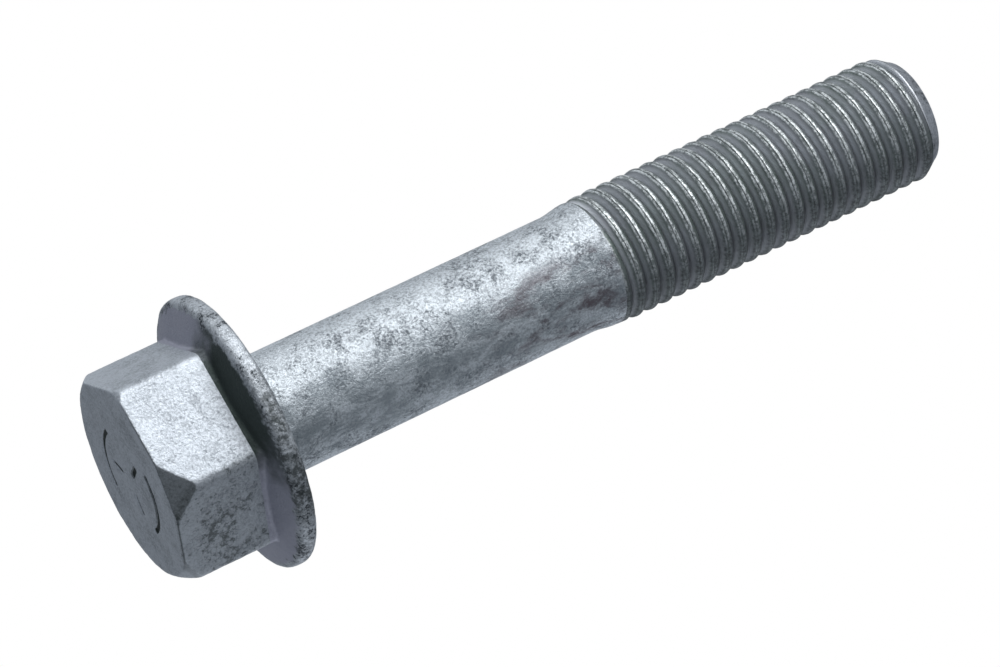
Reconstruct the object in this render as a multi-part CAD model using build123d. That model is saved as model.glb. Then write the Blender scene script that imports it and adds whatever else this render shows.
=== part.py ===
from build123d import *
import math
import os

# Hex flange bolt, M16 x 2 x 90. The bolt is one forging, split here into the features its drawing names.
# It stands head up: the origin is the centre of the bearing face, the head is above it and the shank below.

# Driving dimensions, in millimetres and degrees
nominal_diameter = 16.0
pitch = 2.0
crest_diameter = 15.7       # over the rolled crests, at the low end of the tolerance for M16
shank_diameter = 14.5
bolt_length = 90.7          # bearing face to point, a 90 mm bolt within its tolerance
threaded_length = 48.2      # first swelling of the shank to the point, run-out included
runout_length = 3.5
runout_diameter = 15.3      # what the run-out has swollen to where the first full turn begins
thread_start_angle = 77.0   # turns the helix about the axis, to set where the thread begins
point_length = 1.7
point_start_diameter = 15.1
point_end_diameter = 13.2
across_flats = 23.4         # for a 24 mm spanner
hexagon_corner_radius = 1.0
head_height = 14.6          # bearing face to the top of the hexagon
crown_diameter = 24.6       # circle where the top face meets the head chamfer
head_chamfer_angle = 30.0
flange_diameter = 33.0
flange_edge_height = 2.1
flange_edge_radius = 0.7
flange_cone_angle = 18.0
neck_diameter = 16.6        # where the underhead fillet meets the bearing face
mark_depth = 0.25
mark_width = 0.6
mark_arc_radius = 6.2
mark_arc_sweep = 76.0
mark_tick_count = 3
mark_tick_inner = 1.6
mark_tick_length = 2.6

# Sizes that follow from them
sharp_thread_height = pitch * math.sqrt(3) / 2
crest_radius = crest_diameter / 2
shank_radius = shank_diameter / 2
root_radius = nominal_diameter / 2 - sharp_thread_height * 17 / 24
crest_width = pitch / 8
flank_slope = math.tan(math.radians(30))
neck_radius = neck_diameter / 2
fillet_radius = neck_radius - shank_radius
flange_radius = flange_diameter / 2
cone_slope = math.tan(math.radians(flange_cone_angle))
flange_top_radius = across_flats / 2
flange_top_z = flange_edge_height + (flange_radius - flange_top_radius) * cone_slope
shank_end_z = threaded_length - bolt_length
thread_start_z = shank_end_z - runout_length
point_z = point_length - bolt_length
runout_radius = runout_diameter / 2


def revolved(outline):
    """A solid of revolution about the bolt's axis, from a closed outline of (radius, z) points."""
    face = make_face(Plane.XZ * Polyline(outline, close=True))
    return revolve(face, Axis.Z)


def make_neck():
    """The core of the flange and the concave fillet under the head."""
    straight = [(shank_radius, -fillet_radius), (0, -fillet_radius), (0, flange_top_z)]
    side = Polyline(straight + [(neck_radius, flange_top_z), (neck_radius, 0)])
    hollow = RadiusArc((neck_radius, 0), (shank_radius, -fillet_radius), -fillet_radius)
    return revolve(make_face(Plane.XZ * (side + hollow)), Axis.Z)


def make_flange():
    """The washer-like ring with its rounded rim, its cone and the bearing face."""
    ring = revolved([
        (neck_radius, 0),
        (flange_radius, 0),
        (flange_radius, flange_edge_height),
        (flange_top_radius, flange_top_z),
        (neck_radius, flange_top_z),
    ])
    rim = ring.edges().filter_by(GeomType.CIRCLE).filter_by(lambda edge: edge.radius > flange_radius - 0.1)
    return fillet(rim, flange_edge_radius)


def make_mark():
    """The generic stamped mark: two facing arcs round three radial strokes."""
    stroke = Rectangle(mark_tick_length, mark_width)
    strokes = PolarLocations(mark_tick_inner + mark_tick_length / 2, mark_tick_count)
    shapes = [place * stroke for place in strokes]
    ring = Circle(mark_arc_radius + mark_width / 2) - Circle(mark_arc_radius - mark_width / 2)
    wedge_reach = across_flats
    half_width = wedge_reach * math.tan(math.radians(mark_arc_sweep / 2))
    wedge = make_face(Polyline((0, 0), (wedge_reach, half_width), (wedge_reach, -half_width), close=True))
    shapes += [ring & wedge, ring & (Rot(0, 0, 180) * wedge)]
    return [Pos(0, 0, head_height - mark_depth) * extrude(shape, 2 * mark_depth) for shape in shapes]


def make_hex_head():
    """The hexagon with its chamfered top, standing on the flange's cone."""
    hexagon = RegularPolygon(across_flats / 2, 6, major_radius=False, rotation=30)
    hexagon = fillet(hexagon.vertices(), hexagon_corner_radius)
    prism = extrude(Pos(0, 0, flange_edge_height) * hexagon, head_height - flange_edge_height)
    crown_radius = crown_diameter / 2
    reach = flange_radius
    chamfer_drop = (reach - crown_radius) * math.tan(math.radians(head_chamfer_angle))
    crown = revolved([
        (0, head_height),
        (crown_radius, head_height),
        (reach, head_height - chamfer_drop),
        (reach, 0),
        (0, 0),
    ])
    head = prism & crown
    below = revolved([
        (0, 0),
        (flange_radius, 0),
        (flange_radius, flange_edge_height),
        (flange_top_radius, flange_top_z),
        (0, flange_top_z),
    ])
    head -= below
    for stroke in make_mark():
        head -= stroke
    return head


def make_shank():
    """The plain reduced shank between the underhead fillet and the thread's run-out."""
    length = -shank_end_z - fillet_radius
    return Pos(0, 0, (shank_end_z - fillet_radius) / 2) * Cylinder(shank_radius, length)


def make_thread_runout():
    """The cone on which the rolled thread swells out of the shank."""
    return revolved([
        (0, shank_end_z),
        (shank_radius, shank_end_z),
        (runout_radius, thread_start_z),
        (0, thread_start_z),
    ])


def make_endless_thread():
    """A right-hand threaded bar, longer than the thread, sewn from helical strips and two ramped ends."""
    crest_end = crest_width / 2
    root_start = crest_end + (crest_radius - root_radius) * flank_slope
    profile = [
        (crest_radius, -crest_end),
        (crest_radius, crest_end),
        (root_radius, root_start),
        (root_radius, pitch - root_start),
        (crest_radius, pitch - crest_end),
    ]
    rails = [Pos(0, 0, z) * Edge.make_helix(pitch, pitch, radius) for radius, z in profile]
    strips = [Face.make_surface_from_curves(low, high) for low, high in zip(rails, rails[1:])]
    axis_low, axis_high = (0, 0, -crest_end), (0, 0, pitch - crest_end)
    ramp = Face.make_surface_from_curves(rails[0], Edge.make_line(axis_low, axis_high))
    corners = [axis_low, *((radius, 0, z) for radius, z in profile), axis_high]
    step = Face(Wire.make_polygon(corners, close=True))
    turns = math.ceil((threaded_length + pitch) / pitch)
    faces = [Pos(0, 0, turn * pitch) * strip for turn in range(turns) for strip in strips]
    faces += [Pos(0, 0, end * pitch) * face for end in (0, turns) for face in (ramp, step)]
    bar = Solid(Shell(Face.sew_faces(faces)[0]))
    return Pos(0, 0, -bolt_length - pitch) * Rot(0, 0, thread_start_angle) * bar


def make_thread():
    """The full-form thread, cut square from the endless one and chamfered where the point begins."""
    blank = revolved([
        (0, thread_start_z),
        (crest_radius + pitch, thread_start_z),
        (crest_radius + pitch, point_z + pitch),
        (point_start_diameter / 2, point_z),
        (0, point_z),
    ])
    return make_endless_thread() & blank


def make_point():
    """The smooth chamfered end below the last thread."""
    return revolved([
        (0, point_z),
        (point_start_diameter / 2, point_z),
        (point_end_diameter / 2, -bolt_length),
        (0, -bolt_length),
    ])


nodes = {
    "hex_head": make_hex_head(),
    "flange": make_flange(),
    "underhead_neck": make_neck(),
    "shank": make_shank(),
    "thread_runout": make_thread_runout(),
    "thread": make_thread(),
    "point": make_point(),
}
os.makedirs("parts", exist_ok=True)
for name, solid in nodes.items():
    export_step(solid, f"parts/{name}.step")
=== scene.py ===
import math

import bmesh
import bpy
from mathutils import Matrix, Vector


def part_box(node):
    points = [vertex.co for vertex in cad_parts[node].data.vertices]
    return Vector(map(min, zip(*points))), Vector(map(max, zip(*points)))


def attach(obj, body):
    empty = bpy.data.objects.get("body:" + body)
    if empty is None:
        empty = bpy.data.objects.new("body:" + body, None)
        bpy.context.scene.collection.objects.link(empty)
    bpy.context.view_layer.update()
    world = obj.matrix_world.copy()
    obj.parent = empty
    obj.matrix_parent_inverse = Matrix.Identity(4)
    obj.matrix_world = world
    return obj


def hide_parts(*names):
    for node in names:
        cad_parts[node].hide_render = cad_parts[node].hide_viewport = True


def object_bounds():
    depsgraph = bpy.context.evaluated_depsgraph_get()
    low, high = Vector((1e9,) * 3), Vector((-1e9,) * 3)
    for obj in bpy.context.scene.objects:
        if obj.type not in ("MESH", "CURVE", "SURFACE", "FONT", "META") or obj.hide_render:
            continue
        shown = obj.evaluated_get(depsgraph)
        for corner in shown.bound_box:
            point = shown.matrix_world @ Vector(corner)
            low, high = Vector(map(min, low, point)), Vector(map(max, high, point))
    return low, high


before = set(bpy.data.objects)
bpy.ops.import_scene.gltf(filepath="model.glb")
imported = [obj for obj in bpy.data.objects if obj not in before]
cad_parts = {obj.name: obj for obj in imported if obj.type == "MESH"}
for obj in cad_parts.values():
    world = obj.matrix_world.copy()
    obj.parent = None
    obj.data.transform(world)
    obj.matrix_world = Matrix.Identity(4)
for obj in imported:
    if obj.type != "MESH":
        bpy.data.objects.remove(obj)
cad_low, cad_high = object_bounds()

# ---- Studio -------------------------------------------------------------------------------------------
# The bolt stands on its point on a plain pale floor. The camera looks slightly down on the head from a
# long way off, turned on its side, so the bolt runs across the picture with its head near and low.
MM = 0.001
bolt_low, bolt_high = cad_low.z, cad_high.z
camera_heading = math.radians(-134.6)
camera_height_angle = math.radians(20.0)
camera_roll = math.radians(-115.5)
camera_aim = Vector((-2.01, 1.95, -32.2)) * MM
camera_distance = 502.9 * MM
camera_lens = 158.6

away = Vector((
    math.cos(camera_heading) * math.cos(camera_height_angle),
    math.sin(camera_heading) * math.cos(camera_height_angle),
    math.sin(camera_height_angle),
))
camera_data = bpy.data.cameras.new("camera")
camera_data.lens = camera_lens
camera_data.clip_start = 10 * MM
camera = bpy.data.objects.new("camera", camera_data)
bpy.context.collection.objects.link(camera)
camera.rotation_mode = "QUATERNION"
upright = (-away).to_track_quat("-Z", "Y").to_matrix()
camera.rotation_quaternion = (Matrix.Rotation(camera_roll, 3, away) @ upright).to_quaternion()
camera.location = camera_aim + away * camera_distance
bpy.context.scene.camera = camera
bpy.context.scene.view_settings.view_transform = "Standard"

bpy.ops.object.select_all(action="DESELECT")
floor_size = 3.0
bpy.ops.mesh.primitive_plane_add(size=floor_size, location=(0, 0, bolt_low))
floor = bpy.context.object
floor.name = "floor"
floor.visible_diffuse = floor.visible_glossy = floor.visible_shadow = False

white = (1, 1, 1, 1)


def camera_only_white(tree, seen_otherwise, output):
    """White where the camera looks straight at it, and the given shader where the bolt mirrors it."""
    light_path = tree.nodes.new("ShaderNodeLightPath")
    on_world = output.bl_idname == "ShaderNodeOutputWorld"
    plain = tree.nodes.new("ShaderNodeBackground" if on_world else "ShaderNodeEmission")
    plain.inputs["Color"].default_value = white
    choice = tree.nodes.new("ShaderNodeMixShader")
    tree.links.new(light_path.outputs["Is Camera Ray"], choice.inputs[0])
    tree.links.new(seen_otherwise.outputs[0], choice.inputs[1])
    tree.links.new(plain.outputs[0], choice.inputs[2])
    tree.links.new(choice.outputs[0], output.inputs["Surface"])


floor_paint = bpy.data.materials.new("floor_paint")
floor_paint.use_nodes = True
floor_tree = floor_paint.node_tree
floor_matt = floor_tree.nodes["Principled BSDF"]
floor_matt.inputs["Base Color"].default_value = (0.42, 0.42, 0.43, 1)
floor_matt.inputs["Roughness"].default_value = 0.9
camera_only_white(floor_tree, floor_matt, floor_tree.nodes["Material Output"])
floor.data.materials.append(floor_paint)

world = bpy.data.worlds.new("studio")
bpy.context.scene.world = world
world.use_nodes = True
world_tree = world.node_tree
room = world_tree.nodes["Background"]
room.inputs["Color"].default_value = (0.62, 0.66, 0.72, 1)
room.inputs["Strength"].default_value = 0.50
camera_only_white(world_tree, room, world_tree.nodes["World Output"])


def softbox(name, turn, climb, distance, width, height, power, colour=(1, 1, 1)):
    """A rectangular studio light, set by its angle round the bolt from the camera's heading."""
    data = bpy.data.lights.new(name, "AREA")
    data.shape = "RECTANGLE"
    data.size, data.size_y = width, height
    data.energy = power
    data.color = colour
    lamp = bpy.data.objects.new(name, data)
    bpy.context.collection.objects.link(lamp)
    angle = camera_heading + math.radians(turn)
    climb = math.radians(climb)
    out = Vector((math.cos(angle) * math.cos(climb), math.sin(angle) * math.cos(climb), math.sin(climb)))
    centre = Vector((0, 0, (bolt_low + bolt_high) / 2))
    lamp.location = centre + out * distance
    lamp.rotation_euler = (-out).to_track_quat("-Z", "Y").to_euler()
    lamp.visible_camera = False


softbox("key_light", turn=46, climb=-20, distance=0.55, width=0.42, height=0.34, power=3.0)
softbox(
    "side_light", turn=118, climb=12, distance=0.6, width=0.3, height=0.35, power=0.40,
    colour=(0.94, 0.97, 1.0),
)
softbox(
    "back_light", turn=-125, climb=0, distance=0.6, width=0.3, height=0.35, power=0.40,
    colour=(0.92, 0.95, 1.0),
)

# ---- Zinc coating -------------------------------------------------------------------------------------
# Hot-dip zinc is a bluish grey skin with cloudy blotches, fine sparkling grain and small dark pits.
# Every part of the bolt carries it, so it is a shader group, used with each part's own values.


def group_socket(group, name, direction, kind="NodeSocketFloat", value=None):
    """Gives a shader group one named input or output."""
    socket = group.interface.new_socket(name=name, in_out=direction, socket_type=kind)
    if value is not None:
        socket.default_value = value


def maths(tree, operation, first, second=0.0, third=0.0, clamp=False):
    """Adds one step of arithmetic on values over the surface, and returns its result."""
    node = tree.nodes.new("ShaderNodeMath")
    node.operation = operation
    node.use_clamp = clamp
    for slot, value in enumerate((first, second, third)):
        if isinstance(value, bpy.types.NodeSocket):
            tree.links.new(value, node.inputs[slot])
        else:
            node.inputs[slot].default_value = value
    return node.outputs[0]


def blend(tree, share, low, high):
    """Mixes two colours: none of the second at a share of 0, all of it at 1."""
    node = tree.nodes.new("ShaderNodeMix")
    node.data_type = "RGBA"
    for slot, value in ((0, share), (6, low), (7, high)):
        if isinstance(value, bpy.types.NodeSocket):
            tree.links.new(value, node.inputs[slot])
        else:
            node.inputs[slot].default_value = value
    return node.outputs[2]


def cloud(tree, place, scale, detail=4.0, roughness=0.55, distortion=0.0):
    """A cloudy pattern of values round 0.5, with clouds about 1 / scale across."""
    node = tree.nodes.new("ShaderNodeTexNoise")
    tree.links.new(place, node.inputs["Vector"])
    node.inputs["Detail"].default_value = detail
    node.inputs["Roughness"].default_value = roughness
    node.inputs["Distortion"].default_value = distortion
    node.inputs["Scale"].default_value = scale
    return node.outputs["Fac"]


def spread(tree, value, low, high, to_low=0.0, to_high=1.0):
    """Stretches the range low..high of a value over another range, with soft ends."""
    node = tree.nodes.new("ShaderNodeMapRange")
    node.interpolation_type = "SMOOTHSTEP"
    tree.links.new(value, node.inputs["Value"])
    ends = ("From Min", low), ("From Max", high), ("To Min", to_low), ("To Max", to_high)
    for key, end in ends:
        node.inputs[key].default_value = end
    return node.outputs[0]


zinc_skin = bpy.data.node_groups.new("zinc_skin", "ShaderNodeTree")
group_socket(zinc_skin, "Light", "INPUT", "NodeSocketColor", (0.62, 0.66, 0.70, 1))
group_socket(zinc_skin, "Dark", "INPUT", "NodeSocketColor", (0.16, 0.18, 0.20, 1))
group_socket(zinc_skin, "Blotches", "INPUT", value=0.5)
group_socket(zinc_skin, "Pits", "INPUT", value=0.5)
group_socket(zinc_skin, "Sparkle", "INPUT", value=0.5)
group_socket(zinc_skin, "Color", "OUTPUT", "NodeSocketColor")
group_socket(zinc_skin, "Roughness", "OUTPUT")
group_socket(zinc_skin, "Height", "OUTPUT")
skin_in = zinc_skin.nodes.new("NodeGroupInput")
skin_out = zinc_skin.nodes.new("NodeGroupOutput")
place = zinc_skin.nodes.new("ShaderNodeTexCoord").outputs["Object"]
wide_cloud = cloud(zinc_skin, place, 140, 5, 0.6, 0.4)
patch_cloud = cloud(zinc_skin, place, 420, 6, 0.65, 0.8)
pit_cloud = cloud(zinc_skin, place, 2900, 4, 0.65, 0.4)
grain = cloud(zinc_skin, place, 3300, 3, 0.75)
blotch = maths(zinc_skin, "MULTIPLY_ADD", patch_cloud, 0.6, maths(zinc_skin, "MULTIPLY", wide_cloud, 0.4))
blotch = spread(zinc_skin, blotch, 0.40, 0.62)
blotch = maths(zinc_skin, "MULTIPLY", blotch, skin_in.outputs["Blotches"])
cluster = maths(zinc_skin, "MULTIPLY_ADD", patch_cloud, 0.55, maths(zinc_skin, "MULTIPLY", wide_cloud, 0.45))
cluster = spread(zinc_skin, cluster, 0.50, 0.60)
pit = spread(zinc_skin, maths(zinc_skin, "MULTIPLY_ADD", cluster, 0.12, pit_cloud), 0.55, 0.74)
pit = maths(zinc_skin, "MULTIPLY", pit, skin_in.outputs["Pits"])
flecks = spread(zinc_skin, grain, 0.38, 0.64, -0.5, 0.5)
flecks = maths(zinc_skin, "MULTIPLY", flecks, skin_in.outputs["Sparkle"])
shade = maths(zinc_skin, "SUBTRACT", maths(zinc_skin, "ADD", blotch, pit), flecks, clamp=True)
tint = blend(zinc_skin, shade, skin_in.outputs["Light"], skin_in.outputs["Dark"])
gloss = maths(zinc_skin, "MULTIPLY_ADD", shade, 0.18, 0.47)
relief = maths(zinc_skin, "MULTIPLY_ADD", pit, -0.5, maths(zinc_skin, "MULTIPLY", grain, 1.6))
relief = maths(zinc_skin, "MULTIPLY_ADD", patch_cloud, 0.8, relief)
zinc_skin.links.new(tint, skin_out.inputs["Color"])
zinc_skin.links.new(gloss, skin_out.inputs["Roughness"])
zinc_skin.links.new(relief, skin_out.inputs["Height"])


zinc_metal = 0.75               # how far the dull coating still mirrors as bare metal does


def zinc_coat(name, light, dark, blotches, pits, sparkle, relief_height):
    """A material that lays the zinc skin on a metal base. Returns it with its tree, skin and base."""
    material = bpy.data.materials.new(name)
    material.use_nodes = True
    tree = material.node_tree
    base = tree.nodes["Principled BSDF"]
    base.inputs["Metallic"].default_value = zinc_metal
    skin = tree.nodes.new("ShaderNodeGroup")
    skin.node_tree = zinc_skin
    skin.inputs["Light"].default_value = (*light, 1)
    skin.inputs["Dark"].default_value = (*dark, 1)
    skin.inputs["Blotches"].default_value = blotches
    skin.inputs["Pits"].default_value = pits
    skin.inputs["Sparkle"].default_value = sparkle
    tree.links.new(skin.outputs["Color"], base.inputs["Base Color"])
    tree.links.new(skin.outputs["Roughness"], base.inputs["Roughness"])
    bump = tree.nodes.new("ShaderNodeBump")
    bump.inputs["Strength"].default_value = 0.6
    bump.inputs["Distance"].default_value = relief_height
    tree.links.new(skin.outputs["Height"], bump.inputs["Height"])
    tree.links.new(bump.outputs["Normal"], base.inputs["Normal"])
    return material, tree, skin, base


def alone(piece):
    """Makes this the only selected piece, and the active one."""
    bpy.ops.object.select_all(action="DESELECT")
    piece.select_set(True)
    bpy.context.view_layer.objects.active = piece


def zinc_lumps(piece, strength, size, name):
    """Pushes the surface in and out a little, as the zinc sets unevenly over the steel."""
    texture = bpy.data.textures.new(name, "CLOUDS")
    texture.noise_scale = size
    texture.noise_depth = 2
    alone(piece)
    lumps = piece.modifiers.new(name, "DISPLACE")
    lumps.texture = texture
    lumps.texture_coords = "LOCAL"
    lumps.strength = strength
    lumps.mid_level = 0.5
    bpy.ops.object.modifier_apply(modifier=lumps.name)


def turned(name, outline, segments):
    """A round solid, as from a lathe: a disc at the first (radius, z), extruded ring by ring to the last."""
    radius, z = outline[0]
    bpy.ops.object.select_all(action="DESELECT")
    bpy.ops.mesh.primitive_circle_add(vertices=segments, radius=radius, location=(0, 0, z), fill_type="NGON")
    piece = bpy.context.object
    piece.name = name
    bpy.ops.object.transform_apply(location=True, rotation=True, scale=True)
    bpy.ops.object.mode_set(mode="EDIT")
    bpy.ops.mesh.select_mode(type="FACE")
    bpy.ops.mesh.select_all(action="SELECT")
    for next_radius, next_z in outline[1:]:
        bpy.ops.mesh.extrude_region_move(TRANSFORM_OT_translate={"value": (0, 0, next_z - z)})
        share = next_radius / radius
        bpy.ops.transform.resize(value=(share, share, 1), center_override=(0, 0, next_z))
        radius, z = next_radius, next_z
    bpy.ops.mesh.select_all(action="SELECT")
    bpy.ops.mesh.normals_make_consistent(inside=False)
    bpy.ops.object.mode_set(mode="OBJECT")
    return piece


def cut_level(piece, z, keep):
    """Cuts a piece square across at a height, keeps what is above or below it, and closes the cut."""
    alone(piece)
    bpy.ops.object.mode_set(mode="EDIT")
    bpy.ops.mesh.select_all(action="SELECT")
    bpy.ops.mesh.quads_convert_to_tris()        # so the slivers along the cut keep the slope of their faces
    bpy.ops.mesh.bisect(
        plane_co=(0, 0, z), plane_no=(0, 0, 1), use_fill=True,
        clear_inner=keep == "above", clear_outer=keep == "below", threshold=0.0001 * MM,
    )
    bpy.ops.object.mode_set(mode="OBJECT")


def copy_of(piece, name):
    """A second piece with a mesh of its own."""
    twin = piece.copy()
    twin.data = piece.data.copy()
    twin.name = name
    bpy.context.collection.objects.link(twin)
    return twin


def join_solid(piece, tool, operation):
    """Adds, cuts away or keeps the common part of another solid, which is used up."""
    alone(piece)
    step = piece.modifiers.new(operation.lower(), "BOOLEAN")
    step.operation = operation
    step.solver = "EXACT"
    step.object = tool
    bpy.ops.object.modifier_apply(modifier=step.name)
    bpy.data.objects.remove(tool)


def finish_piece(piece, node, material, sharp_angle=40):
    """Shades a piece, gives it its material, and lets it stand for its CAD node."""
    alone(piece)
    piece.data.materials.clear()
    piece.data.materials.append(material)
    bpy.ops.object.shade_smooth_by_angle(angle=math.radians(sharp_angle))
    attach(piece, "root")
    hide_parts(node)


# ---- Forged head: hexagon and flange ------------------------------------------------------------------
# The hexagon and the flange are upset from one blank in a die, so the blank is made whole: a chamfered
# hexagon on a coned ring, softened where they meet, then parted level with the foot of the hexagon.
skin_room = 0.06 * MM           # left inside the CAD size for the lumps of the zinc
across_flats = 2 * (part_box("hex_head")[1].x - skin_room)
head_top = bolt_high - skin_room
flange_radius = cad_high.x - skin_room
flange_edge = 2.0 * MM
flange_cone_slope = math.tan(math.radians(18))
hexagon_foot = flange_edge + (flange_radius - across_flats / 2) * flange_cone_slope
corner_round = 0.65 * MM
hexagon_base = 1.0 * MM

bpy.ops.object.select_all(action="DESELECT")
bpy.ops.mesh.primitive_cylinder_add(
    vertices=6, radius=across_flats / math.sqrt(3), depth=head_top - hexagon_base,
    location=(0, 0, (head_top + hexagon_base) / 2),
)
head_blank = bpy.context.object
head_blank.name = "head_blank"
bpy.ops.object.transform_apply(location=True, rotation=True, scale=True)
bpy.ops.object.mode_set(mode="EDIT")
bpy.ops.mesh.select_mode(type="EDGE")
bpy.ops.mesh.select_all(action="DESELECT")
mesh = bmesh.from_edit_mesh(head_blank.data)
for edge in mesh.edges:
    edge.select_set(abs(edge.verts[0].co.z - edge.verts[1].co.z) > 1 * MM)
bmesh.update_edit_mesh(head_blank.data)
bpy.ops.mesh.bevel(offset=corner_round, segments=6, profile=0.5, affect="EDGES")
bpy.ops.object.mode_set(mode="OBJECT")

# The hexagon's top is rounded by a chamfer that stands a little to one side. Each pair is a radius and
# a height.
reach = 18 * MM                 # clear of the hexagon's corners
crown = turned("crown", [
    (reach, -1 * MM),
    (reach, head_top - 9 * MM),
    (13.60 * MM, head_top - 2.1 * MM),
    (12.80 * MM, head_top - 1.05 * MM),
    (12.20 * MM, head_top - 0.4 * MM),
    (11.80 * MM, head_top),
], 96)
crown_offset = 1.0 * MM
crown_lean = math.radians(-118)
crown_shift = Vector((math.cos(crown_lean), math.sin(crown_lean), 0)) * crown_offset
crown.data.transform(Matrix.Translation(crown_shift))
join_solid(head_blank, crown, "INTERSECT")

# One corner is nipped off flat, where the blank didn't fill the die.
nip_heading = math.radians(-150)
nip_slope = math.radians(32)
nip_normal = Vector((
    math.cos(nip_heading) * math.cos(nip_slope),
    math.sin(nip_heading) * math.cos(nip_slope),
    math.sin(nip_slope),
))
nip_radius = 13.4 * MM
nip_depth = 3.2 * MM
nip_place = Vector((math.cos(nip_heading), math.sin(nip_heading), 0)) * nip_radius
nip_place.z = head_top - nip_depth
alone(head_blank)
bpy.ops.object.mode_set(mode="EDIT")
bpy.ops.mesh.select_all(action="SELECT")
bpy.ops.mesh.bisect(
    plane_co=nip_place, plane_no=nip_normal, use_fill=True, clear_outer=True, threshold=0.0001 * MM,
)
bpy.ops.object.mode_set(mode="OBJECT")

rim_round = 0.8 * MM
arc_steps = 6


def quarter(centre_radius, centre_z, radius, start, end):
    """Points of an arc on the outline, between two angles measured from straight out."""
    points = []
    for step in range(arc_steps + 1):
        angle = math.radians(start + (end - start) * step / arc_steps)
        points.append((centre_radius + radius * math.cos(angle), centre_z + radius * math.sin(angle)))
    return points


flange_outline = [(flange_radius - 2 * MM, 0)]
flange_outline += quarter(flange_radius - rim_round, rim_round, rim_round, -90, 0)
flange_outline += quarter(flange_radius - rim_round, flange_edge - rim_round * 0.6, rim_round, 0, 65)
flange_outline += [(across_flats / 2, hexagon_foot), (across_flats / 4, hexagon_foot)]
flange_blank = turned("flange_blank", flange_outline, 160)
join_solid(head_blank, flange_blank, "UNION")

mark_depth = 0.40 * MM
mark_width = 0.65 * MM
mark_arc_radius = 6.2 * MM
mark_arc_half = math.radians(38)
mark_arc_steps = 8
mark_ticks = 3
tick_distance = 2.9 * MM
tick_length = 2.6 * MM
stroke_stretch = 1.8            # each stroke of an arc overlaps the next


def stamp(name, angle, distance, length):
    """A short straight stroke of the stamp, sunk into the top of the head."""
    bpy.ops.object.select_all(action="DESELECT")
    bpy.ops.mesh.primitive_cube_add(size=1, location=(distance, 0, head_top))
    tool = bpy.context.object
    tool.name = name
    tool.scale = (length, mark_width, 2 * mark_depth)
    bpy.ops.object.transform_apply(location=True, rotation=True, scale=True)
    bpy.ops.object.mode_set(mode="EDIT")
    bpy.ops.mesh.select_all(action="SELECT")
    bpy.ops.mesh.subdivide(number_cuts=3)
    bpy.ops.object.mode_set(mode="OBJECT")
    tool.data.transform(Matrix.Rotation(angle, 4, "Z"))
    return tool


for tick in range(mark_ticks):
    angle = 2 * math.pi * tick / mark_ticks
    join_solid(head_blank, stamp("tick", angle, tick_distance, tick_length), "DIFFERENCE")
for side in (0, math.pi):
    for step in range(mark_arc_steps + 1):
        angle = side + mark_arc_half * (2 * step / mark_arc_steps - 1)
        stroke = stamp("arc", 0, mark_arc_radius, mark_width)
        stroke.data.transform(Matrix.Scale(stroke_stretch, 4, (0, 1, 0)))
        stroke.data.transform(Matrix.Rotation(angle, 4, "Z"))
        join_solid(head_blank, stroke, "DIFFERENCE")

voxel = 0.17 * MM
alone(head_blank)
remesh = head_blank.modifiers.new("remesh", "REMESH")
remesh.mode = "VOXEL"
remesh.voxel_size = voxel
bpy.ops.object.modifier_apply(modifier=remesh.name)
soften = head_blank.modifiers.new("soften", "SMOOTH")
soften.factor = 0.5
soften.iterations = 4
bpy.ops.object.modifier_apply(modifier=soften.name)
zinc_lumps(head_blank, 0.10 * MM, 2.5 * MM, "head_lumps")
zinc_lumps(head_blank, 0.05 * MM, 0.7 * MM, "head_grit")

parting = hexagon_foot + 0.5 * MM
hexagon = copy_of(head_blank, "hex_head")
cut_level(hexagon, parting, "above")
flange = copy_of(head_blank, "flange")
cut_level(flange, parting, "below")
bpy.data.objects.remove(head_blank)

head_zinc, head_tree, head_skin, head_base = zinc_coat(
    "head_zinc", light=(0.50, 0.54, 0.585), dark=(0.12, 0.135, 0.15),
    blotches=0.22, pits=0.25, sparkle=0.42, relief_height=0.09 * MM,
)


def from_axis(tree):
    """How far a point is from the bolt's axis, and where it is along X, Y and Z, in millimetres."""
    here = tree.nodes.new("ShaderNodeTexCoord").outputs["Object"]
    parts = tree.nodes.new("ShaderNodeSeparateXYZ")
    tree.links.new(here, parts.inputs[0])
    x, y, z = (maths(tree, "MULTIPLY", parts.outputs[axis], 1 / MM) for axis in range(3))
    radius = maths(tree, "SQRT", maths(tree, "MULTIPLY_ADD", x, x, maths(tree, "MULTIPLY", y, y)))
    return radius, x, y, z, here


def facing(tree, toward_x, toward_y):
    """1 on the side of the bolt with this heading, 0 a quarter turn away. It uses the last from_axis."""
    reach_to = maths(tree, "MULTIPLY_ADD", along_x, toward_x, maths(tree, "MULTIPLY", along_y, toward_y))
    return maths(tree, "DIVIDE", reach_to, radius_mm)


def wavy(tree, value, here, scale, amount):
    """Moves a boundary to and fro with a cloud, so it isn't drawn as with a compass."""
    return maths(tree, "MULTIPLY_ADD", maths(tree, "SUBTRACT", cloud(tree, here, scale), 0.5), amount, value)


# Painted shade darkens the stamped mark and the crown's chamfer on the nipped side. One flat is painted
# darker as shade, mottled, and the top has a duller mottle.
painted_shade_colour = (0.035, 0.045, 0.042, 1)
shade_and_mottle_colour = (0.11, 0.125, 0.13, 1)
radius_mm, along_x, along_y, height_mm, here = from_axis(head_tree)
top_mm = head_top / MM
in_mark = spread(head_tree, height_mm, top_mm - 0.10, top_mm - 0.24)
in_mark = maths(head_tree, "MULTIPLY", in_mark, spread(head_tree, radius_mm, 8.2, 7.6))
lean = head_tree.nodes.new("ShaderNodeSeparateXYZ")
head_tree.links.new(head_tree.nodes.new("ShaderNodeNewGeometry").outputs["Normal"], lean.inputs[0])
upward = wavy(head_tree, lean.outputs["Z"], here, 900, 0.25)
on_chamfer = spread(head_tree, upward, 0.12, 0.34)
on_chamfer = maths(head_tree, "MULTIPLY", on_chamfer, spread(head_tree, upward, 0.95, 0.84))
near_top = spread(head_tree, height_mm, top_mm - 6, top_mm - 4)
on_chamfer = maths(head_tree, "MULTIPLY", on_chamfer, near_top)
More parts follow.
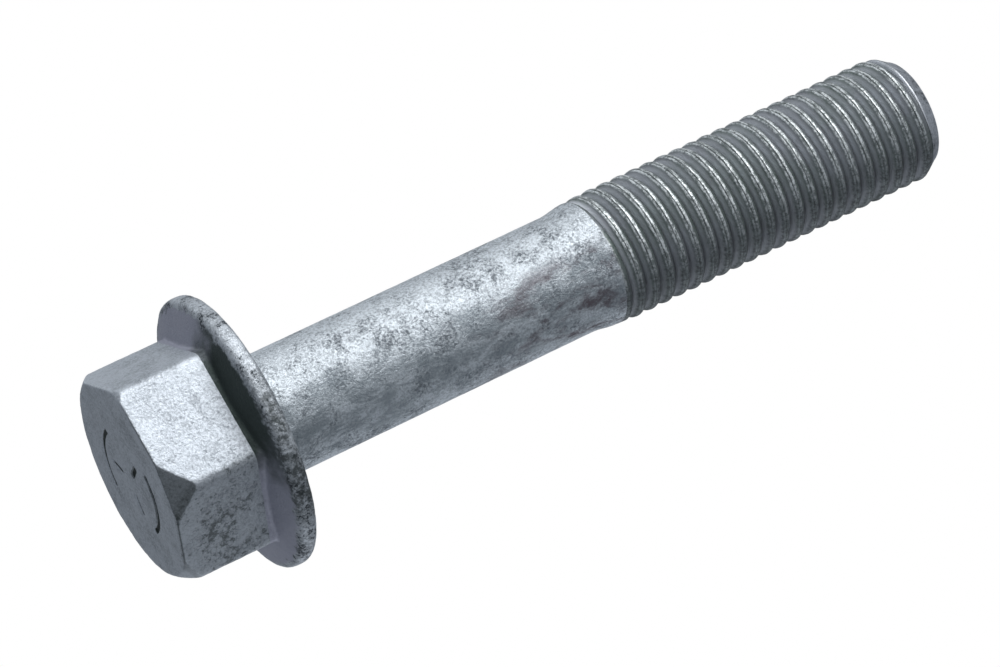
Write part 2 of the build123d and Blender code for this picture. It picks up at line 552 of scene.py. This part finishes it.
nipped_side = spread(head_tree, facing(head_tree, -0.87, -0.5), 0.45, 0.82)
on_chamfer = maths(head_tree, "MULTIPLY", on_chamfer, nipped_side)
# painted shade: the sunk mark and the chamfer on the nipped side are darkened as shade
mark_and_chamfer_shade = maths(head_tree, "MAXIMUM", in_mark, maths(head_tree, "MULTIPLY", on_chamfer, 0.62))

half_flats_mm = across_flats / MM / 2
# painted shade with mottling: the flat facing -X is darkened all over and mottled; the end face gets only
# the mottle
shaded_mottled_flat = spread(head_tree, along_x, 1 - half_flats_mm, 0.3 - half_flats_mm)
flat_end = maths(head_tree, "MULTIPLY", spread(head_tree, upward, 0.90, 0.98), 0.30)
shade_and_mottle_area = maths(head_tree, "MAXIMUM", shaded_mottled_flat, flat_end)
broad_mottle = maths(head_tree, "MULTIPLY", cloud(head_tree, here, 300, 4, 0.6), 0.4)
mottle = maths(head_tree, "MULTIPLY_ADD", cloud(head_tree, here, 1500, 5, 0.75), 0.6, broad_mottle)
mottle = spread(head_tree, mottle, 0.49, 0.60, 0.22, 0.95)
shade_and_mottle = maths(head_tree, "MULTIPLY", shade_and_mottle_area, mottle)
head_colour = blend(head_tree, shade_and_mottle, head_skin.outputs["Color"], shade_and_mottle_colour)
head_colour = blend(head_tree, mark_and_chamfer_shade, head_colour, painted_shade_colour)
head_tree.links.new(head_colour, head_base.inputs["Base Color"])

# The flange is dull lilac on its cone, with painted shade nearly black on the side next to the hexagon, and
# spotted with grime on its rim.
cone_light = (0.40, 0.41, 0.48, 1)
cone_painted_shade = (0.055, 0.072, 0.068, 1)
rim_dark = (0.05, 0.06, 0.06, 1)
flange_zinc, flange_tree, flange_skin, flange_base = zinc_coat(
    "flange_zinc", light=(0.54, 0.58, 0.62), dark=(0.05, 0.06, 0.07),
    blotches=0.50, pits=0.85, sparkle=0.45, relief_height=0.12 * MM,
)
radius_mm, along_x, along_y, height_mm, here = from_axis(flange_tree)
on_cone = spread(flange_tree, wavy(flange_tree, radius_mm, here, 900, 2.2), 15.9, 15.3)
on_cone = maths(flange_tree, "MULTIPLY", on_cone, spread(flange_tree, height_mm, 1.2, 2.0))
# painted shade: the cone is darkened to nearly black on one side, beside the hexagon
cone_shade_side = wavy(flange_tree, facing(flange_tree, -0.52, -0.85), here, 300, 0.35)
cone_colour = blend(flange_tree, spread(flange_tree, cone_shade_side, 0.66, 0.93), cone_light, cone_painted_shade)
grimy_rim = spread(flange_tree, facing(flange_tree, -0.88, -0.48), 0.80, 0.96)
rim_mottle = spread(flange_tree, cloud(flange_tree, here, 1100, 6, 0.75), 0.38, 0.60, 0.1, 0.9)
rim_grime = maths(flange_tree, "MULTIPLY", grimy_rim, rim_mottle)
rim_colour = blend(flange_tree, rim_grime, flange_skin.outputs["Color"], rim_dark)
flange_colour = blend(flange_tree, on_cone, rim_colour, cone_colour)
flange_tree.links.new(flange_colour, flange_base.inputs["Base Color"])
finish_piece(hexagon, "hex_head", head_zinc, 50)
finish_piece(flange, "flange", flange_zinc, 50)

# ---- Neck ---------------------------------------------------------------------------------------------
# The concave fillet between bearing face and shank, part of the same forging. Its turned shape is already
# right, so it only takes the zinc.
shank_zinc, shank_tree, shank_skin, shank_base = zinc_coat(
    "shank_zinc", light=(0.64, 0.69, 0.73), dark=(0.16, 0.18, 0.20),
    blotches=0.48, pits=0.50, sparkle=0.72, relief_height=0.16 * MM,
)
streaked_shade_colour = (0.24, 0.275, 0.30, 1)
bruise_colour = (0.13, 0.115, 0.13, 1)
radius_mm, along_x, along_y, height_mm, here = from_axis(shank_tree)
# painted shade: one side of the shank, below its highlight, is darkened in lengthwise streaks
shank_shade_side = wavy(shank_tree, facing(shank_tree, -0.94, -0.34), here, 220, 0.5)
shank_shade_side = spread(shank_tree, shank_shade_side, 0.66, 0.98)
stretched = shank_tree.nodes.new("ShaderNodeMapping")        # stretched along the shank, so the streaks of painted shade and the bruises run lengthwise
stretched.inputs["Scale"].default_value = (1, 1, 0.45)
shank_tree.links.new(here, stretched.inputs["Vector"])
lengthwise_place = stretched.outputs[0]
shade_streaks = spread(shank_tree, cloud(shank_tree, lengthwise_place, 520, 6, 0.7, 0.5), 0.42, 0.60, 0.25, 0.85)
streaked_shade_share = maths(shank_tree, "MULTIPLY", shank_shade_side, shade_streaks)
shank_colour = blend(shank_tree, streaked_shade_share, shank_skin.outputs["Color"], streaked_shade_colour)
bruise = spread(shank_tree, cloud(shank_tree, lengthwise_place, 420, 6, 0.75, 0.3), 0.46, 0.66)
near_thread = spread(shank_tree, height_mm, -20, -38)
near_thread = maths(shank_tree, "MULTIPLY", near_thread, spread(shank_tree, along_x, -2.5, -5.5))
bruise_share = maths(shank_tree, "MULTIPLY", bruise, near_thread)
shank_colour = blend(shank_tree, bruise_share, shank_colour, bruise_colour)
shank_tree.links.new(shank_colour, shank_base.inputs["Base Color"])
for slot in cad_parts["underhead_neck"].material_slots:
    slot.material = shank_zinc

# ---- Shank --------------------------------------------------------------------------------------------
# The plain part, drawn to the thread's pitch diameter before rolling, round but for the lumps of the zinc.
shank_low, shank_high = (corner.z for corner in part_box("shank"))
shank_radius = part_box("shank")[1].x - skin_room / 2
ring_step = 0.5 * MM
round_segments = 144


def levels(low, high):
    """Even heights from one end of a stretch to the other, about one ring step apart."""
    count = round((high - low) / ring_step)
    return [low + (high - low) * step / count for step in range(count + 1)]


overlap = 0.03 * MM             # neighbours run into each other by a hair, so no slit shows between them
shank = turned("shank", [(shank_radius, z) for z in levels(shank_low - 1 * MM, shank_high)], round_segments)
zinc_lumps(shank, 0.05 * MM, 2.5 * MM, "shank_lumps")
zinc_lumps(shank, 0.03 * MM, 0.6 * MM, "shank_grit")
cut_level(shank, shank_low - overlap, "above")
finish_piece(shank, "shank", shank_zinc)

# ---- Thread and run-out -------------------------------------------------------------------------------
# The thread is rolled, not cut: the dies press the root in and squeeze the metal up, so each crest is
# round and has a fine seam along it where two folds met. It dies out over the last turn at the shank.
runout_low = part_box("thread_runout")[0].z
runout_radius = 7.62 * MM       # the swelling between the shank and the first full turn
thread_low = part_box("thread")[0].z
pitch = 2.0 * MM
crest_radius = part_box("thread")[1].x - skin_room / 2
root_radius = 6.77 * MM
crest_roundness = 2.3           # 2 is a parabola, more is fuller
seam_offset = 0.14 * MM
seam_depth = 0.07 * MM
seam_half = 0.10 * MM
turn_steps = 144
bar_turns = 27


def thread_radius(phase):
    """The radius of the rolled profile at a share of the pitch, with the crest at the middle."""
    from_crest = (phase - 0.5) * pitch
    fullness = 1 - abs(from_crest / (pitch / 2)) ** crest_roundness
    radius = root_radius + (crest_radius - root_radius) * fullness
    from_seam = abs(from_crest - seam_offset)
    if from_seam < seam_half:
        radius -= seam_depth * (1 - from_seam / seam_half)
    return radius


# Shares of the pitch, close together where the profile turns sharply: in the root and at the seam.
profile_phases = [0, 0.025, 0.06, 0.11, 0.16, 0.22, 0.29, 0.36, 0.43, 0.48, 0.52, 0.545, 0.57, 0.595, 0.62]
profile_phases += [0.67, 0.73, 0.80, 0.86, 0.91, 0.95, 0.98, 1]
crest_height_at_x = -89.10 * MM    # where the crest crosses the side that faces +X
bar_low = crest_height_at_x - 2.5 * pitch
bpy.ops.object.select_all(action="DESELECT")
bpy.ops.mesh.primitive_circle_add(vertices=3, radius=1 * MM, location=(0, 0, 0), fill_type="NOTHING")
bar = bpy.context.object
bar.name = "threaded_bar"
start = bmesh.new()
corners = [
    start.verts.new((thread_radius(phase % 1), 0, bar_low + phase * pitch)) for phase in profile_phases
]
for first, second in zip(corners, corners[1:]):
    start.edges.new((first, second))
start.to_mesh(bar.data)
start.free()
alone(bar)
winding = bar.modifiers.new("winding", "SCREW")
winding.axis = "Z"
winding.angle = 2 * math.pi
winding.screw_offset = pitch
winding.iterations = bar_turns
winding.steps = turn_steps
winding.render_steps = turn_steps
winding.use_merge_vertices = True
winding.merge_threshold = 0.001 * MM
bpy.ops.object.modifier_apply(modifier=winding.name)
alone(bar)
bpy.ops.object.mode_set(mode="EDIT")
bpy.ops.mesh.select_all(action="SELECT")
bpy.ops.mesh.remove_doubles(threshold=0.002 * MM)
bpy.ops.mesh.normals_make_consistent(inside=False)
bpy.ops.object.mode_set(mode="OBJECT")


def smooth_share(value, low, high):
    """0 below the low end, 1 above the high end, and an easy curve between."""
    share = min(max((value - low) / (high - low), 0), 1)
    return share * share * (3 - 2 * share)


swell_low = shank_low - 3.4 * MM
fade_low, fade_high = shank_low - 5.4 * MM, shank_low - 2.6 * MM
rise_from, rise_to = 3 * MM, 6 * MM     # how far below the shank the crests reach their full height
point_fade_low, point_fade_high = thread_low - 0.1 * MM, thread_low + 0.7 * MM
point_top_radius = 7.5 * MM
point_slope = 0.7
for vertex in bar.data.vertices:
    radius = math.hypot(vertex.co.x, vertex.co.y)
    z = vertex.co.z
    swell = smooth_share(z, swell_low, shank_low)
    blank_radius = shank_radius * swell + runout_radius * (1 - swell)
    rise = smooth_share(shank_low - z, rise_from, rise_to)
    crest_limit = blank_radius + (crest_radius - runout_radius) * rise
    fade = smooth_share(z, fade_low, fade_high)
    new_radius = min(radius, crest_limit) * (1 - fade) + blank_radius * fade
    point_limit = point_top_radius + max(z - thread_low, 0) * point_slope
    point_fade = 1 - smooth_share(z, point_fade_low, point_fade_high)
    new_radius = min(new_radius, point_limit) * (1 - point_fade) + point_limit * point_fade
    vertex.co.x *= new_radius / radius
    vertex.co.y *= new_radius / radius
zinc_lumps(bar, 0.05 * MM, 2.5 * MM, "thread_lumps")
zinc_lumps(bar, 0.03 * MM, 0.6 * MM, "thread_grit")

runout = copy_of(bar, "thread_runout")
cut_level(runout, shank_low, "below")
cut_level(runout, runout_low - overlap, "above")
thread = copy_of(bar, "thread")
cut_level(thread, runout_low, "below")
cut_level(thread, thread_low - overlap, "above")
bpy.data.objects.remove(bar)
thread_zinc, thread_tree, thread_skin, thread_base = zinc_coat(
    "thread_zinc", light=(0.44, 0.47, 0.49), dark=(0.06, 0.07, 0.07),
    blotches=0.50, pits=0.7, sparkle=0.30, relief_height=0.06 * MM,
)
radius_mm, along_x, along_y, height_mm, here = from_axis(thread_tree)
turn_share = maths(thread_tree, "DIVIDE", maths(thread_tree, "ARCTAN2", along_y, along_x), 2 * math.pi)
turns_up = maths(thread_tree, "MULTIPLY_ADD", height_mm, MM / pitch, 0.5 - crest_height_at_x / pitch)
share = maths(thread_tree, "FRACT", maths(thread_tree, "SUBTRACT", turns_up, turn_share))
from_crest = maths(thread_tree, "MULTIPLY_ADD", share, pitch / MM, -0.5 * pitch / MM)

# The rolled marks are drawn out along the turns and fine across them.
drawn = thread_tree.nodes.new("ShaderNodeCombineXYZ")
for axis, along in enumerate((along_x, along_y)):
    thread_tree.links.new(maths(thread_tree, "MULTIPLY", along, 0.9), drawn.inputs[axis])
across = maths(thread_tree, "MULTIPLY_ADD", from_crest, 3.0, maths(thread_tree, "MULTIPLY", height_mm, 0.7))
thread_tree.links.new(across, drawn.inputs[2])
drawn = drawn.outputs[0]
rough_line = wavy(thread_tree, from_crest, here, 2600, 0.22)
rough_line = wavy(thread_tree, rough_line, drawn, 0.8, 0.20)

# Flanks: painted shade, greenish in places, near the crest, a painted highlight towards the root, and
# painted shade nearly black in the root.
flank_painted_shade, flank_green = (0.155, 0.17, 0.185, 1), (0.088, 0.118, 0.104, 1)
flank_painted_light, root_painted_shade = (0.80, 0.83, 0.88, 1), (0.02, 0.024, 0.026, 1)
flank_cover = 0.80              # how much of the zinc skin under them the flank colours hide
# the side of the bolt that faces the key light; the thread's painted light and shade follow it
key_lit_side = maths(thread_tree, "DIVIDE", along_y, radius_mm)
key_lit_side = spread(thread_tree, key_lit_side, 0.15, -0.75)
green_patch = spread(thread_tree, cloud(thread_tree, here, 130), 0.40, 0.62)
near_colour = blend(thread_tree, green_patch, flank_painted_shade, flank_green)
# painted light and shade across the flank: dark near the crest, bright in the concave root, black at its
# bottom
root_share = spread(thread_tree, from_crest, 0.44, 0.92)
flank_colour = blend(thread_tree, root_share, near_colour, flank_painted_light)
thread_colour = blend(thread_tree, flank_cover, thread_skin.outputs["Color"], flank_colour)
in_root = spread(thread_tree, from_crest, -0.86, -0.99, 0.0, 0.8)
thread_colour = blend(thread_tree, in_root, thread_colour, root_painted_shade)

# Crests: a painted highlight on the side of the bolt that faces the key light, broken by painted glints, and
# parted by a seam in painted shade.
crest_dull, crest_mid, crest_highlight_colour = (0.20, 0.225, 0.225, 1), (0.25, 0.28, 0.29, 1), (0.70, 0.74, 0.75, 1)
seam_painted_shade = (0.05, 0.06, 0.06, 1)
off_crest = maths(thread_tree, "ABSOLUTE", maths(thread_tree, "SUBTRACT", rough_line, 0.06))
on_crest = spread(thread_tree, off_crest, 0.46, 0.26)
fine_glint = maths(thread_tree, "MULTIPLY", cloud(thread_tree, here, 3600, 3, 0.7), 0.5)
crest_glint = maths(thread_tree, "MULTIPLY_ADD", cloud(thread_tree, drawn, 0.9), 0.5, fine_glint)
crest_glint = spread(thread_tree, crest_glint, 0.43, 0.57)
# painted highlight: crests are brighter on the key-lit side
lit_crest_colour = blend(thread_tree, key_lit_side, crest_mid, crest_highlight_colour)
crest_colour = blend(thread_tree, crest_glint, crest_dull, lit_crest_colour)
thread_colour = blend(thread_tree, on_crest, thread_colour, crest_colour)
# painted shade in the seam groove, stronger on the key-lit side
off_seam = maths(thread_tree, "ABSOLUTE", maths(thread_tree, "SUBTRACT", rough_line, seam_offset / MM))
seam_share = maths(thread_tree, "MULTIPLY_ADD", key_lit_side, 0.5, 0.2)
in_seam = maths(thread_tree, "MULTIPLY", spread(thread_tree, off_seam, 0.12, 0.03), seam_share)
thread_colour = blend(thread_tree, in_seam, thread_colour, seam_painted_shade)

# The side away from the key light is darkened with painted shade, and is pitted over its crests.
pit_black, unlit_shade_black = (0.045, 0.05, 0.05, 1), (0.03, 0.034, 0.036, 1)
unlit_side_share = maths(thread_tree, "MULTIPLY_ADD", key_lit_side, -0.75, 0.75)
pitted = spread(thread_tree, cloud(thread_tree, here, 2300, 4, 0.75), 0.44, 0.60)
pitted = maths(thread_tree, "MULTIPLY", pitted, unlit_side_share)
over_crest = spread(thread_tree, maths(thread_tree, "ABSOLUTE", from_crest), 0.85, 0.45)
pitted = maths(thread_tree, "MULTIPLY", pitted, over_crest)
thread_colour = blend(thread_tree, pitted, thread_colour, pit_black)
# painted shade: darker on the side away from the key light
unlit_shade = maths(thread_tree, "MAXIMUM", maths(thread_tree, "MULTIPLY_ADD", key_lit_side, -0.36, 0.26), 0.0)
thread_colour = blend(thread_tree, unlit_shade, thread_colour, unlit_shade_black)
thread_tree.links.new(thread_colour, thread_base.inputs["Base Color"])
thread_gloss = maths(thread_tree, "MULTIPLY_ADD", on_crest, -0.06, thread_skin.outputs["Roughness"])
thread_tree.links.new(thread_gloss, thread_base.inputs["Roughness"])
finish_piece(runout, "thread_runout", shank_zinc)
finish_piece(thread, "thread", thread_zinc)

# ---- Point --------------------------------------------------------------------------------------------
# The chamfered end that leads into the nut, cropped flat, its edge left a little round by the coating.
point_end_radius = 6.55 * MM
point_round = 0.35 * MM
point_edge_rise, point_edge_lean = 0.12 * MM, 0.1 * MM
point_end = bolt_low + skin_room
point_outline = [(point_end_radius * share, point_end) for share in (0.3, 0.6, 0.9)]
point_outline += [(point_end_radius, point_end + point_edge_rise)]
point_outline += [(point_end_radius + point_edge_lean, point_end + point_round)]
point_steps = 6
point_start = point_outline[-1]
point_outline += [
    (point_start[0] + (point_top_radius - point_start[0]) * step / point_steps,
     point_start[1] + (thread_low - point_start[1]) * step / point_steps)
    for step in range(1, point_steps + 1)
]
point = turned("point", point_outline, round_segments)
zinc_lumps(point, 0.05 * MM, 2.5 * MM, "point_lumps")
point_zinc, *_ = zinc_coat(
    "point_zinc", light=(0.42, 0.45, 0.49), dark=(0.08, 0.09, 0.10),
    blotches=0.65, pits=0.7, sparkle=0.3, relief_height=0.06 * MM,
)
finish_piece(point, "point", point_zinc)
